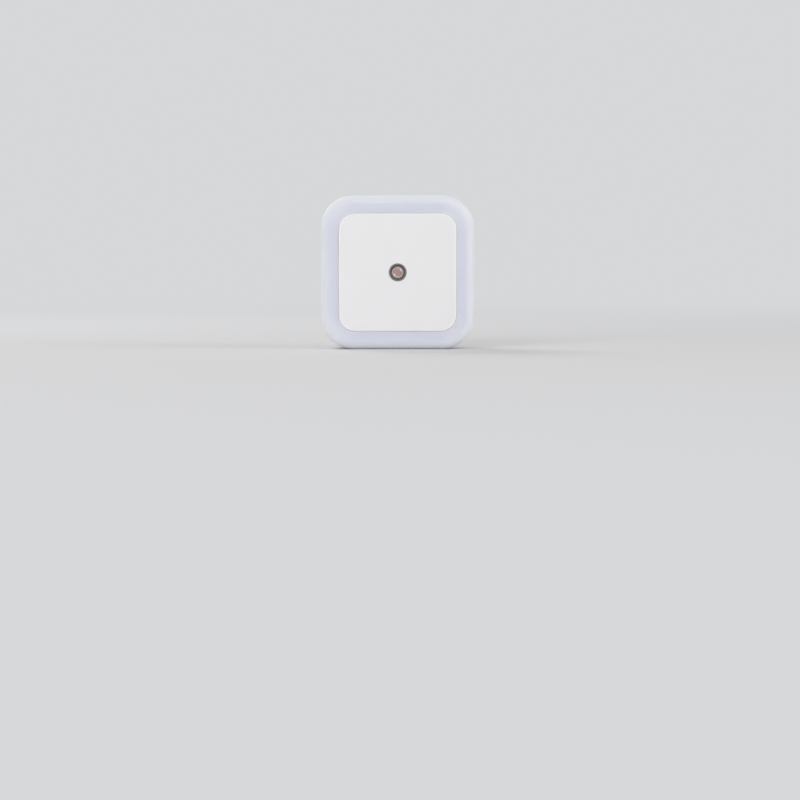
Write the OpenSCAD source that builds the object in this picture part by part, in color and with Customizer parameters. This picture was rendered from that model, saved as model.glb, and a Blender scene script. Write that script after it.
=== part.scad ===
// Square plug-in night light with a dusk sensor, for a two-pin European socket.
// Sizes are in millimetres. The origin is the middle of the plug's engagement face, between the
// pins. +Y runs along the pins into the wall, +Z is up, and the lit front faces -Y.
// Each piece is drawn lying on its back: x to the right, y up the wall, z out of the wall.

/* [Light body] */
// Width and height of the square body
body_w = 65; // [61:0.5:80]
// Radius of the body's four corners
body_r = 13.5; // [10:0.5:16]
// Depth of the rear housing, from the wall plate to the parting line
rear_depth = 11; // [10:0.5:16]
// Depth of the diffuser, from the parting line to its front face
diffuser_depth = 13; // [12:0.5:18]
// Radius that rounds the diffuser's front edge
rim_r = 4; // [2:0.1:5]
// Radius that rounds the rear housing's back edge
back_r = 3; // [1:0.1:4]
// Wall of the diffuser
diffuser_wall = 1.6; // [1.3:0.1:2]
// Floor of the rear housing, which lies on the wall plate
floor_t = 2; // [1.5:0.1:3]
// How far the plug sits below the middle of the body
plug_drop = 7; // [5:0.5:9]

/* [Front cover] */
// Width and height of the cover
cover_w = 49.5; // [46:0.5:50.5]
// Radius of the cover's corners
cover_r = 6.6; // [4:0.1:9]
// Thickness of the cover
cover_t = 1.6; // [1.4:0.1:2.2]
// How far the cover stands proud of the diffuser
cover_proud = 0.4; // [0.2:0.1:0.8]
// Radius that rounds the cover's front edge
cover_edge_r = 0.3; // [0.2:0.1:0.6]
// Width of each snap hook on the cover
hook_w = 5; // [3:0.5:8]
// Thickness of a snap hook's leg
hook_t = 1.2; // [1:0.1:1.6]
// Overhang of a snap hook's barb
hook_barb = 0.6; // [0.4:0.1:0.8]
// Length of the slope on a barb
hook_tip = 1.2; // [0.8:0.1:1.6]
// Distance between the two hooks on one edge
hook_pitch = 28; // [20:1:32]

/* [Snap joint between the shells] */
// Thickness of the tongue round the rear housing's rim
tongue_t = 1.1; // [0.9:0.1:1.5]
// Height of the tongue above the parting line
tongue_h = 3; // [2.6:0.1:4]
// Width and depth of the shadow groove at the parting line
groove = 0.4; // [0.2:0.1:0.6]
// Radius of the snap beads on the tongue
bead_r = 0.6; // [0.5:0.05:0.7]
// How far a bead stands proud of the tongue
bead_proud = 0.35; // [0.25:0.05:0.45]
// Length of each snap bead
bead_l = 14; // [8:1:24]

/* [Plug boss] */
// Width of the plug boss
plug_w = 35.3; // [34:0.1:36]
// Height of the plug boss
plug_h = 13.7; // [12.8:0.1:14.5]
// Width of the flat on the boss's top and bottom
plug_flat = 26.1; // [25:0.1:30]
// Radius that rounds the boss's long edges
plug_edge_r = 1.2; // [0.5:0.1:2]
// Reach of the boss, from the engagement face to the wall plate
plug_reach = 18; // [16:0.5:20]
// Wall of the boss
plug_wall = 1.6; // [1.2:0.1:2]
// Thickness of the boss's end, which the pins pass through
plug_end_t = 3; // [2.5:0.1:4]
// Chamfer round the boss's end
plug_chamfer = 0.8; // [0.3:0.1:1.2]
// Thickness of the web that braces the pin towers
web_t = 1.4; // [1:0.1:2]
// Overhang of the flange that holds the boss in the rear housing
flange_w = 2; // [1.5:0.1:2.5]
// Thickness of that flange
flange_t = 2; // [1.5:0.1:3]
// Wall of the collar that locates the flange
collar_t = 1.2; // [0.8:0.1:1.4]

/* [Pins] */
// Distance between the two pins
pin_pitch = 18.6; // [17.5:0.1:19.5]
// Diameter of a pin's bare end
pin_d = 4; // [3.9:0.1:4.8]
// Length of a pin outside the boss
pin_l = 19; // [17:0.5:20]
// Radius that rounds the pin's tip
pin_tip_r = 1.5; // [0.5:0.1:1.9]
// Diameter of the insulating sleeve
sleeve_d = 3.6; // [3.4:0.1:3.8]
// Length of the sleeve outside the boss
sleeve_l = 10; // [8:0.5:11]
// Depth that the sleeve is seated in the boss
sleeve_seat = 1.5; // [1:0.1:2]
// Diameter of the pin's shank inside the sleeve
shank_d = 2.8; // [2.4:0.1:3]
// Diameter of the pin's head inside the boss
head_d = 5; // [4:0.1:5.4]
// Thickness of that head
head_t = 1.5; // [1:0.1:2]
// Diameter of the pin's solder tail
tail_d = 2; // [1.6:0.1:2.4]
// Outer diameter of the tower that holds each pin
tower_d = 7.6; // [7:0.1:8.4]
// Height of that tower above the engagement face
tower_h = 13; // [10:0.5:14]
// Diameter of the insulated lead from a pin to the board
lead_d = 1.6; // [1.2:0.1:2]
// Angle that the lead leans over on its way to the board
lead_lean = 50; // [35:1:60]

/* [Circuit board] */
// Margin of the board beyond the posts' centres
board_margin = 3.5; // [2.5:0.5:4.5]
// Thickness of the board
board_t = 1.6; // [1:0.1:2]
// Radius of the board's corners
board_r = 3; // [1:0.5:4]
// Height of the board's posts above the floor
post_h = 10; // [9.5:0.5:12]
// Diameter of the board's posts
post_d = 5.5; // [5:0.1:6]
// Distance between neighbouring posts
post_pitch = 39; // [37.5:0.5:39.5]
// Thickness of the rib that braces each post
rib_t = 1.2; // [0.8:0.1:1.6]
// Height of that rib above the floor
rib_h = 6.5; // [4:0.5:7]
// Diameter of the locating pegs on two of the posts
peg_d = 2.2; // [1.8:0.1:2.6]
// Diameter of the board screws
screw_d = 2.2; // [1.8:0.1:2.6]
// Length of the screws below their heads
screw_l = 8; // [6:0.5:9]
// Diameter of the screw heads
screw_head_d = 4.2; // [3.6:0.1:5]
// Height of the screw heads
screw_head_h = 1.5; // [1.2:0.1:2]

/* [Dusk sensor] */
// Diameter of the photocell
cell_d = 5.1; // [4.5:0.1:5.5]
// Thickness of the photocell
cell_t = 2.1; // [1.6:0.1:2.6]
// Depth of the photocell's face below the cover's face
cell_recess = 1.5; // [0.8:0.1:2.5]
// Spacing of the photocell's leads
cell_lead_pitch = 3.4; // [2.5:0.1:3.8]
// Angle that the photocell is turned in its holder
cell_turn = 42; // [-90:1:90]
// Outer diameter of the shroud round the photocell
shroud_d = 7.2; // [6.8:0.1:9]
// Wall of the shroud at its flared mouth
mouth_wall = 0.3; // [0.2:0.05:0.4]
// Depth of the flare
mouth_depth = 1.3; // [0.5:0.1:1.6]
// Depth of the shroud's end below the cover's face
shroud_recess = 0.1; // [0:0.1:0.5]

/* [Light source] */
// Length of an LED package
led_l = 3.5; // [3:0.1:4.5]
// Width of an LED package
led_w = 2.8; // [2.4:0.1:3.2]
// Height of an LED package
led_h = 1.9; // [1:0.1:2]
// Diameter of the phosphor window in an LED
led_window_d = 2.1; // [1.6:0.1:2.2]
// Distance of each LED from the middle of the board
led_offset = 20; // [18:0.5:20.5]

/* [Power supply] */
// Length of the film capacitor
film_l = 13; // [12:0.5:14]
// Width of the film capacitor
film_w = 11.5; // [10:0.5:12]
// Thickness of the film capacitor
film_t = 6; // [5:0.5:7]
// Diameter of the electrolytic capacitor
can_d = 6.3; // [5:0.1:8]
// Height of the electrolytic capacitor
can_h = 7; // [5:0.5:7.5]
// Length of the bridge rectifier
bridge_l = 4.7; // [4:0.1:5.2]
// Width of the bridge rectifier
bridge_w = 3.9; // [3.5:0.1:4.2]
// Height of the bridge rectifier
bridge_h = 2.5; // [1.5:0.1:3]
// Diameter of the fusible resistor
fusible_d = 3.2; // [2.5:0.1:4]
// Length of the fusible resistor
fusible_l = 9; // [8:0.5:11]
// Diameter of the bleed resistor
bleed_d = 2.3; // [1.8:0.1:2.8]
// Length of the bleed resistor
bleed_l = 6.3; // [5.5:0.1:8]
// Diameter of the Zener diode
zener_d = 2.7; // [2:0.1:3]
// Length of the Zener diode
zener_l = 5.2; // [4:0.1:6]
// Depth of the waist between a resistor's ends
resistor_waist = 0.2; // [0.1:0.05:0.4]
// Length of the transistor
transistor_l = 2.9; // [2.6:0.1:3.4]
// Width of the transistor
transistor_w = 1.3; // [1.2:0.1:1.8]
// Height of the transistor
transistor_h = 1; // [0.8:0.1:1.3]
// Length of a chip resistor
chip_l = 3.2; // [2:0.1:4]
// Width of a chip resistor
chip_w = 1.6; // [1.2:0.1:2.5]
// Diameter of the parts' bare wires
wire_d = 0.6; // [0.5:0.1:0.8]
// Steps across the board of the grid that its parts are placed on
grid_steps = 92; // [88:1:100]

/* [Clearances] */
// Gap between plastic pieces that slide together
fit_gap = 0.15; // [0.1:0.05:0.25]
// Gap round the front cover in its seat
cover_gap = 0.05; // [0.03:0.01:0.15]
// Gap round moulded-in metal
press_gap = 0.05; // [0.05:0.01:0.1]

/* [Hidden] */
$fn = 48;

// Levels, measured out of the wall from the engagement face
floor_z = plug_reach + floor_t;
flange_z = floor_z + flange_t;
board_z = floor_z + post_h;
board_top_z = board_z + board_t;
parting_z = plug_reach + rear_depth;
front_z = parting_z + diffuser_depth;
cover_z = front_z + cover_proud;
pocket_z = cover_z - cover_t;
cell_z = cover_z - cell_recess;

// The rear wall is as thick as the diffuser's wall and the tongue inside it
inside_t = diffuser_wall + fit_gap;
rear_wall = inside_t + tongue_t;
// Least radius inside a moulded corner
inner_r = 0.5;
// Passes clean through whatever is being cut
through = 1;
// Depth that a pilot hole runs on below its screw
pilot_spare = 0.5;

// The board reaches past its posts on every side
board_w = post_pitch + 2 * board_margin;
grid = board_w / grid_steps;
// A square's diagonal, in widths of its side
diagonal = sqrt(2);

// The hooks stand this far in from the cover's edge
hook_inset = 3;
hook_reach = diffuser_wall + fit_gap;
// Distance of the beads' centre line from the middle of the body, and above the parting line
bead_y = body_w / 2 - inside_t - bead_r + bead_proud;
bead_rise = tongue_h - 2 * bead_r;

// Places on the board, from its middle, in steps of the grid
film_at = [-17, 23] * grid;
can_at = [14, 26] * grid;
bridge_at = [0, -25] * grid;
fusible_at = [0, -39] * grid;
bleed_at = [-19, 3] * grid;
zener_at = [30, 8] * grid;
transistor_at = [18, -18] * grid;
sensor_resistor_at = [-18, -18] * grid;
led_resistor_at = [18, 18] * grid;

// ---- Placing ----

// Stands a piece up against the wall, about the plug's axis
module on_plug(place = [0, 0, 0]) rotate([90, 0, 0]) translate(place) children();

// Stands a piece up against the wall, about the middle of the body
module on_body(z = 0) on_plug([0, plug_drop, z]) children();

// Seats a part on the board's front or on its back
module on_front(place, turn = 0)
    on_body(board_top_z) translate(place) rotate(turn) children();

module on_back(place, turn = 0)
    on_body(board_z) translate(place) mirror([0, 0, 1]) rotate(turn) children();

// Repeats a piece at the four posts, at the two that take screws, or at the two with pegs
module at_posts(kinds = [1, -1]) {
    for (kind = kinds, x = [1, -1])
        translate([x, x * kind] * post_pitch / 2) children();
}

// ---- Shared shapes ----

// Half section, w wide and h high, with its top outer corner rounded by r
module rounded_section(w, h, r) {
    square([w, h - r]);
    square([w - r, h]);
    translate([w - r, h - r]) intersection() {
        circle(r);
        square(r);
    }
}

// Square plate of width w, with corners of radius r and its top edge rounded by edge_r
module rounded_plate(w, r, h, edge_r) {
    reach = w / 2 - r;
    for (turn = [0 : 90 : 270]) rotate(turn) {
        translate([reach, reach, 0])
            rotate_extrude(angle = 90) rounded_section(r, h, edge_r);
        translate([reach, 0, 0]) rotate([90, 0, 0])
            linear_extrude(2 * reach, center = true) rounded_section(r, h, edge_r);
    }
    translate([-reach, -reach, 0]) cube([2 * reach, 2 * reach, h]);
}

// The same plate with its bottom edge rounded, hanging down from z = 0
module hanging_plate(w, r, h, edge_r) mirror([0, 0, 1]) rounded_plate(w, r, h, edge_r);

// Square outline with corners of radius r
module square_outline(w, r) {
    square([w, w - 2 * r], center = true);
    square([w - 2 * r, w], center = true);
    for (x = [-1, 1], y = [-1, 1])
        translate([x, y] * (w / 2 - r)) circle(r);
}

// Round bar with its top edge rounded
module rounded_bar(d, h, r) rotate_extrude() rounded_section(d / 2, h, r);

// Outline of the plug boss, larger all round by grow
module plug_outline(grow = 0) {
    x = plug_w / 2;
    y = plug_h / 2;
    flat = plug_flat / 2;
    end = y - (x - flat);
    offset(plug_edge_r + grow) offset(delta = -plug_edge_r) polygon([
        [x, end], [flat, y], [-flat, y], [-x, end],
        [-x, -end], [-flat, -y], [flat, -y], [x, -end]
    ]);
}

// Bare wire along an arc in the x-z plane, from its right-hand end
module wire_arc(r, d, angle)
    rotate([90, 0, 0]) rotate_extrude(angle = angle) translate([r, 0]) circle(d = d);

// Bare wire that runs out along +x at height z and bends down to the board
module bent_wire(z, run) {
    bend_r = 2 * wire_d;
    translate([0, 0, z]) rotate([0, 90, 0]) cylinder(d = wire_d, h = run);
    translate([run, 0, z - bend_r]) wire_arc(bend_r, wire_d, 90);
    translate([run + bend_r, 0, 0]) cylinder(d = wire_d, h = z - bend_r);
}

// Axial part lying on its wires a little above the board, with a waist between its two ends
module axial_part(d, l, waist = 0) {
    z = d / 2 + 2 * wire_d;
    end_l = l / 5;
    translate([-l / 2, 0, z]) rotate([0, 90, 0]) rotate_extrude() {
        square([d / 2 - waist, l]);
        square([d / 2, end_l]);
        translate([0, l - end_l]) square([d / 2, end_l]);
    }
    for (side = [0, 1]) mirror([side, 0, 0]) translate([l / 2, 0, 0]) bent_wire(z, 2 * wire_d);
}

// Flat moulded part on gull-wing leads, which stand at the x places listed for its two long sides
module gull_part(l, w, h, near, far) {
    lift = 0.1;
    lead_t = 0.2;
    lead_w = 0.5;
    knee = 0.4;
    foot = 0.6;
    mid = lift + h / 2;
    translate([-l / 2, -w / 2, lift]) cube([l, w, h]);
    for (side = [0, 1], x = side == 0 ? near : far)
        mirror([0, side, 0]) translate([x, -w / 2, 0]) rotate([90, 0, -90])
            linear_extrude(lead_w, center = true) polygon([
                [0, mid], [knee, mid], [knee, 0], [knee + foot, 0], [knee + foot, lead_t],
                [knee + lead_t, lead_t], [knee + lead_t, mid + lead_t], [0, mid + lead_t]
            ]);
}

// Chip resistor: a ceramic body with plated ends
module chip_part() {
    h = 0.5;
    end_l = 0.5;
    plating = 0.05;
    translate([-chip_l / 2, -chip_w / 2, plating]) cube([chip_l, chip_w, h]);
    for (x = [-chip_l / 2, chip_l / 2 - end_l])
        translate([x, -chip_w / 2, 0]) cube([end_l, chip_w, h + 2 * plating]);
}

// ---- Casing ----

// Section of one snap hook, hanging from the cover's back, with its barb towards +x
module hook_section() polygon([
    [-hook_t, 0], [0, 0], [0, -hook_reach], [hook_barb, -hook_reach],
    [0, -hook_reach - hook_tip], [-hook_t, -hook_reach - hook_tip]
]);

// Repeats a piece at the four hooks, with y towards the cover's nearest edge
module at_hooks() {
    for (x = [-1, 1], side = [0, 1])
        mirror([0, side, 0]) translate([x * hook_pitch / 2, cover_w / 2 - hook_inset, 0]) children();
}

module front_cover() color("white") on_body(pocket_z) {
    difference() {
        rounded_plate(cover_w, cover_r, cover_t, cover_edge_r);
        translate([0, 0, -through]) cylinder(d = shroud_d + 2 * fit_gap, h = cover_t + 2 * through);
    }
    at_hooks() rotate([90, 0, 90]) linear_extrude(hook_w, center = true) hook_section();
}

// Slots let the hooks flex inwards and then catch behind their outer edge
module hook_slots() {
    slot_w = hook_w + 2 * fit_gap;
    at_hooks() translate([-slot_w / 2, -hook_t - hook_barb - fit_gap, -diffuser_wall - through])
        cube([slot_w, hook_t + hook_barb + 2 * fit_gap, diffuser_wall + 2 * through]);
}

// Snap beads on the tongue, or with gap the grooves for them in the diffuser
module beads(gap = 0) {
    for (turn = [0 : 90 : 270]) rotate(turn)
        translate([0, bead_y, bead_rise]) rotate([0, 90, 0])
            cylinder(r = bead_r + gap, h = bead_l + 2 * gap, center = true);
}

module diffuser() color("lavender") on_body() difference() {
    union() {
        difference() {
            translate([0, 0, parting_z])
                rounded_plate(body_w, body_r, diffuser_depth, rim_r);
            translate([0, 0, parting_z - through])
                rounded_plate(body_w - 2 * diffuser_wall, body_r - diffuser_wall,
                    diffuser_depth - diffuser_wall + through, max(rim_r - diffuser_wall, inner_r));
        }
        // Backs the pocket that the cover lies in
        translate([0, 0, pocket_z - diffuser_wall])
            linear_extrude(front_z - pocket_z + diffuser_wall / 2)
                square_outline(cover_w + 2 * inside_t, cover_r + inside_t);
    }
    translate([0, 0, pocket_z]) linear_extrude(cover_t)
        square_outline(cover_w + 2 * cover_gap, cover_r + cover_gap);
    translate([0, 0, pocket_z]) hook_slots();
    translate([0, 0, parting_z]) beads(fit_gap);
    translate([0, 0, parting_z]) cylinder(d = shroud_d + 2 * fit_gap, h = diffuser_depth);
}

// Rib from a post along its diagonal into the housing's corner
module post_rib() {
    reach = (body_w / 2 - body_r) * diagonal + body_r - rear_wall / 2 - post_pitch / diagonal;
    translate([0, -rib_t / 2, 0]) cube([reach, rib_t, rib_h]);
}

module rear_shell() difference() {
    union() {
        translate([0, 0, parting_z - groove])
            hanging_plate(body_w, body_r, rear_depth - groove, back_r);
        translate([0, 0, parting_z - groove]) linear_extrude(groove)
            square_outline(body_w - 2 * groove, body_r - groove);
        translate([0, 0, parting_z]) linear_extrude(tongue_h)
            square_outline(body_w - 2 * inside_t, body_r - inside_t);
    }
    translate([0, 0, parting_z + tongue_h + through])
        hanging_plate(body_w - 2 * rear_wall, body_r - rear_wall,
            parting_z + tongue_h + through - floor_z, inner_r);
}

module rear_housing() color("whitesmoke") {
    on_body() difference() {
        union() {
            rear_shell();
            translate([0, 0, parting_z]) beads();
            translate([0, 0, floor_z]) {
                at_posts() cylinder(d = post_d, h = post_h);
                for (turn = [45 : 90 : 315]) rotate(turn)
                    translate([post_pitch / diagonal, 0, 0]) post_rib();
                at_posts([-1]) cylinder(d = peg_d, h = post_h + board_t);
                translate([0, -plug_drop, 0]) linear_extrude(flange_t)
                    plug_outline(flange_w + fit_gap + collar_t);
            }
        }
        translate([0, -plug_drop, floor_z]) linear_extrude(flange_t + through)
            plug_outline(flange_w + fit_gap);
        translate([0, -plug_drop, plug_reach - through]) linear_extrude(floor_t + 2 * through)
            plug_outline(fit_gap);
        at_posts([1]) translate([0, 0, board_top_z - screw_l - pilot_spare])
            cylinder(d = screw_d + 2 * press_gap, h = screw_l);
    }
}

// ---- Plug ----

module at_pins() {
    for (x = [-1, 1]) translate([x * pin_pitch / 2, 0, 0]) children();
}

module plug_body() color("white") on_plug() difference() {
    union() {
        difference() {
            union() {
                hull() {
                    linear_extrude(plug_chamfer) plug_outline(-plug_chamfer);
                    translate([0, 0, plug_chamfer])
                        linear_extrude(flange_z - plug_chamfer) plug_outline();
                }
                translate([0, 0, floor_z]) linear_extrude(flange_t) plug_outline(flange_w);
            }
            translate([0, 0, plug_end_t]) linear_extrude(flange_z) plug_outline(-plug_wall);
        }
        at_pins() translate([0, 0, plug_end_t / 2]) cylinder(d = tower_d, h = tower_h - plug_end_t / 2);
        translate([-(plug_w - plug_wall) / 2, -web_t / 2, plug_end_t / 2])
            cube([plug_w - plug_wall, web_t, tower_h - plug_end_t]);
    }
    at_pins() {
        translate([0, 0, -through]) cylinder(d = shank_d + 2 * press_gap, h = tower_h + 2 * through);
        translate([0, 0, -through]) cylinder(d = sleeve_d + 2 * press_gap, h = sleeve_seat + through);
    }
}

// Pin with a rounded bare end, a thinner shank in its sleeve, a head on its tower and a solder tail
module pin() {
    bare_l = pin_l - sleeve_l;
    translate([0, 0, -sleeve_l]) mirror([0, 0, 1]) rounded_bar(pin_d, bare_l, pin_tip_r);
    translate([0, 0, -sleeve_l]) cylinder(d = shank_d, h = sleeve_l + tower_h);
    translate([0, 0, tower_h]) cylinder(d = head_d, h = head_t);
    translate([0, 0, tower_h + head_t]) cylinder(d = tail_d, h = flange_z - tower_h - head_t);
}

module pin_sleeve() translate([0, 0, -sleeve_l]) difference() {
    cylinder(d = sleeve_d, h = sleeve_l + sleeve_seat);
    translate([0, 0, -through])
        cylinder(d = shank_d + 2 * press_gap, h = sleeve_l + sleeve_seat + 2 * through);
}

// Insulated wire in an easy S from a pin's tail to the board, leaning towards -x
module pin_lead() {
    r = (board_z - flange_z) / 2 / sin(lead_lean);
    translate([-r, 0, 0]) wire_arc(r, lead_d, lead_lean);
    translate([-r + 2 * r * cos(lead_lean), 0, board_z - flange_z])
        mirror([1, 0, 0]) mirror([0, 0, 1]) wire_arc(r, lead_d, lead_lean);
}

module live_pin() color("silver") on_plug([-pin_pitch / 2, 0, 0]) pin();

module neutral_pin() color("silver") on_plug([pin_pitch / 2, 0, 0]) pin();

module live_pin_sleeve() color("dimgray") on_plug([-pin_pitch / 2, 0, 0]) pin_sleeve();

module neutral_pin_sleeve() color("dimgray") on_plug([pin_pitch / 2, 0, 0]) pin_sleeve();

module live_lead() color("saddlebrown") on_plug([-pin_pitch / 2, 0, flange_z])
    mirror([1, 0, 0]) pin_lead();

module neutral_lead() color("steelblue") on_plug([pin_pitch / 2, 0, flange_z]) pin_lead();

// ---- Board and sensor ----

module circuit_board() color("darkgreen") on_body(board_z) linear_extrude(board_t) difference() {
    square_outline(board_w, board_r);
    at_posts([1]) circle(d = screw_d + 2 * fit_gap);
    at_posts([-1]) circle(d = peg_d + 2 * fit_gap);
}

// Pan-head screw hanging from z = 0, with a cross recess
module board_screw() {
    slot_w = 0.6;
    slot_l = 2.4;
    difference() {
        rounded_bar(screw_head_d, screw_head_h, screw_head_h / 2);
        for (turn = [0, 90]) rotate(turn)
            translate([-slot_l / 2, -slot_w / 2, screw_head_h / 2]) cube([slot_l, slot_w, screw_head_h]);
    }
    translate([0, 0, -screw_l]) cylinder(d = screw_d, h = screw_l);
}

module board_screws() color("gray") on_body(board_top_z) at_posts([1]) board_screw();

module photoresistor() color("rosybrown") on_body() rotate(cell_turn) {
    translate([0, 0, cell_z - cell_t]) cylinder(d = cell_d, h = cell_t);
    for (x = [-1, 1])
        translate([x * cell_lead_pitch / 2, 0, board_top_z])
            cylinder(d = wire_d, h = cell_z - cell_t - board_top_z);
}

module sensor_shroud() color("dimgray") on_body(board_top_z) {
    h = cover_z - shroud_recess - board_top_z;
    bore = cell_d + 2 * fit_gap;
    mouth = shroud_d - 2 * mouth_wall;
    difference() {
        cylinder(d = shroud_d, h = h);
        translate([0, 0, -through]) cylinder(d = bore, h = h + 2 * through);
        translate([0, 0, h - mouth_depth]) cylinder(d1 = bore, d2 = mouth, h = mouth_depth);
    }
}

// Square LED package with a dished phosphor window
module led(place, turn) color("lightyellow") on_front(place, turn) difference() {
    window_t = 0.3;
    translate([-led_l / 2, -led_w / 2, 0]) cube([led_l, led_w, led_h]);
    translate([0, 0, led_h - window_t])
        cylinder(d1 = led_window_d, d2 = led_window_d + window_t, h = window_t);
}

module led_top() led([0, led_offset], 0);

module led_bottom() led([0, -led_offset], 0);

module led_left() led([-led_offset, 0], 90);

module led_right() led([led_offset, 0], 90);

// ---- Power supply ----

module film_capacitor() color("gold") on_back(film_at) {
    edge_r = 0.8;
    lead_inset = 1.5;
    translate([-film_l / 2, -film_w / 2, 0]) linear_extrude(film_t) {
        translate([edge_r, 0]) square([film_l - 2 * edge_r, film_w]);
        translate([0, edge_r]) square([film_l, film_w - 2 * edge_r]);
        for (x = [edge_r, film_l - edge_r], y = [edge_r, film_w - edge_r])
            translate([x, y]) circle(edge_r);
    }
    for (side = [-1, 1])
        translate([side * (film_l / 2 - lead_inset), film_w / 2, 0]) rotate(90)
            bent_wire(film_t / 2, wire_d);
}

// Round can with a rolled groove above its bung
module electrolytic_capacitor() color("darkslategray") on_back(can_at) difference() {
    top_r = 0.6;
    bung_h = 1.5;
    roll_r = 0.5;
    roll_depth = 0.3;
    rounded_bar(can_d, can_h, top_r);
    translate([0, 0, bung_h]) rotate_extrude()
        translate([can_d / 2 + roll_r - roll_depth, 0]) circle(roll_r);
}

module bridge_rectifier() color("black") on_back(bridge_at) {
    pitch = bridge_l / 4;
    gull_part(bridge_l, bridge_w, bridge_h, [-pitch, pitch], [-pitch, pitch]);
}

module fusible_resistor() color("tan") on_back(fusible_at)
    axial_part(fusible_d, fusible_l, resistor_waist);

module bleed_resistor() color("burlywood") on_back(bleed_at)
    axial_part(bleed_d, bleed_l, resistor_waist);

module zener_diode() color("orangered") on_back(zener_at, 90) axial_part(zener_d, zener_l);

module transistor() color("black") on_front(transistor_at) {
    pitch = transistor_l / 3;
    gull_part(transistor_l, transistor_w, transistor_h, [-pitch, pitch], [0]);
}

module sensor_resistor() color("black") on_front(sensor_resistor_at) chip_part();

module led_resistor() color("black") on_front(led_resistor_at) chip_part();

front_cover();
diffuser();
rear_housing();
plug_body();
live_pin();
neutral_pin();
live_pin_sleeve();
neutral_pin_sleeve();
live_lead();
neutral_lead();
circuit_board();
board_screws();
photoresistor();
sensor_shroud();
led_top();
led_bottom();
led_left();
led_right();
film_capacitor();
electrolytic_capacitor();
bridge_rectifier();
fusible_resistor();
bleed_resistor();
zener_diode();
transistor();
sensor_resistor();
led_resistor();
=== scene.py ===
import math

import bmesh
import bpy
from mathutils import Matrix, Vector


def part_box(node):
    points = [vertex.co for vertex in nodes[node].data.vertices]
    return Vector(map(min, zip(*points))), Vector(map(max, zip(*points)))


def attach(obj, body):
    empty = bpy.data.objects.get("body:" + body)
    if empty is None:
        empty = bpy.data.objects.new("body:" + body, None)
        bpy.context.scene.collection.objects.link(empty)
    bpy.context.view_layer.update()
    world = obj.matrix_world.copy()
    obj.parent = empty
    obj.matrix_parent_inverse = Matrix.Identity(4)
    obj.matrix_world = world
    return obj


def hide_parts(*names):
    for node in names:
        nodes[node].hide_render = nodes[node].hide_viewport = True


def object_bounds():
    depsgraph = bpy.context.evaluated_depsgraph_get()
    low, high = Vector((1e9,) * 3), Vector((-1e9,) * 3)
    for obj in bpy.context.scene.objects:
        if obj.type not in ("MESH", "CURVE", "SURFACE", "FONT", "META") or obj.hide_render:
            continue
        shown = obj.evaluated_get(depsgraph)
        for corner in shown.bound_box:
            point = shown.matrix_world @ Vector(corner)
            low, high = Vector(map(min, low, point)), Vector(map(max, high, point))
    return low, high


# A square plug-in night light with a dusk sensor, stood upright on a pale floor.
# Its front faces -Y, +X is to the right and +Z is up. All lengths are in metres.

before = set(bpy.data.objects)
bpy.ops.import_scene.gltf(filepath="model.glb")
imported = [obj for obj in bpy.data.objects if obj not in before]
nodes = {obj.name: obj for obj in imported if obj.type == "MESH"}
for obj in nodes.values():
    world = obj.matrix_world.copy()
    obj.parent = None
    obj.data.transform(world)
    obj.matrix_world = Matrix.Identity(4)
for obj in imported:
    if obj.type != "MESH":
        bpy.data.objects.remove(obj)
cad_box = [list(corner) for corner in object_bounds()]

MM = 0.001

# ---- The photograph's view ----

PHOTO_PX = 800              # width and height of the picture
BODY_PX = 153.2             # width of the light's body in it
LIGHT_PX = (397.7, 272.4)   # middle of the body in it
LENS = 90.0                 # focal length in millimetres
SENSOR = 36.0               # width of what the lens draws on, likewise

# ---- Sizes of the light ----

shell_low, shell_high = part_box("diffuser")
cover_low, cover_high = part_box("front_cover")
body_w = shell_high.x - shell_low.x
cover_w = cover_high.x - cover_low.x
body_z = (shell_low.z + shell_high.z) / 2
body_front = shell_low.y
body_back = shell_high.y
BODY_R = 13.5 * MM          # corners of the body
RIM_R = 4.0 * MM            # rounds the diffuser's front edge
WALL = 1.6 * MM             # of the diffuser
COVER_R = 6.6 * MM          # corners of the cover
COVER_T = 1.6 * MM          # thickness of the cover
COVER_EDGE_R = 0.3 * MM     # rounds the cover's front edge
SEAT_GAP = 0.05 * MM        # round the cover in its seat
TIGHT_GAP = 0.01 * MM       # what is left of it further in, where the cover fits tight
GAP_DEPTH = 0.12 * MM       # how far in that starts, from the diffuser's face
FIT_GAP = 0.15 * MM         # between plastic pieces that slide together


def srgb(red, green, blue):
    """Linear colour from a colour as a picture stores it, from 0 to 255."""
    return tuple((c / 255 / 12.92 if c <= 10 else ((c / 255 + 0.055) / 1.055) ** 2.4)
                 for c in (red, green, blue)) + (1.0,)


# ---- Materials ----

NOISE = (0.3, 0.7)          # nearly all of a noise lies between these


def tone(colour, factor):
    """The same colour, lighter or darker."""
    return tuple(c * factor for c in colour[:3]) + (1.0,)


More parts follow.
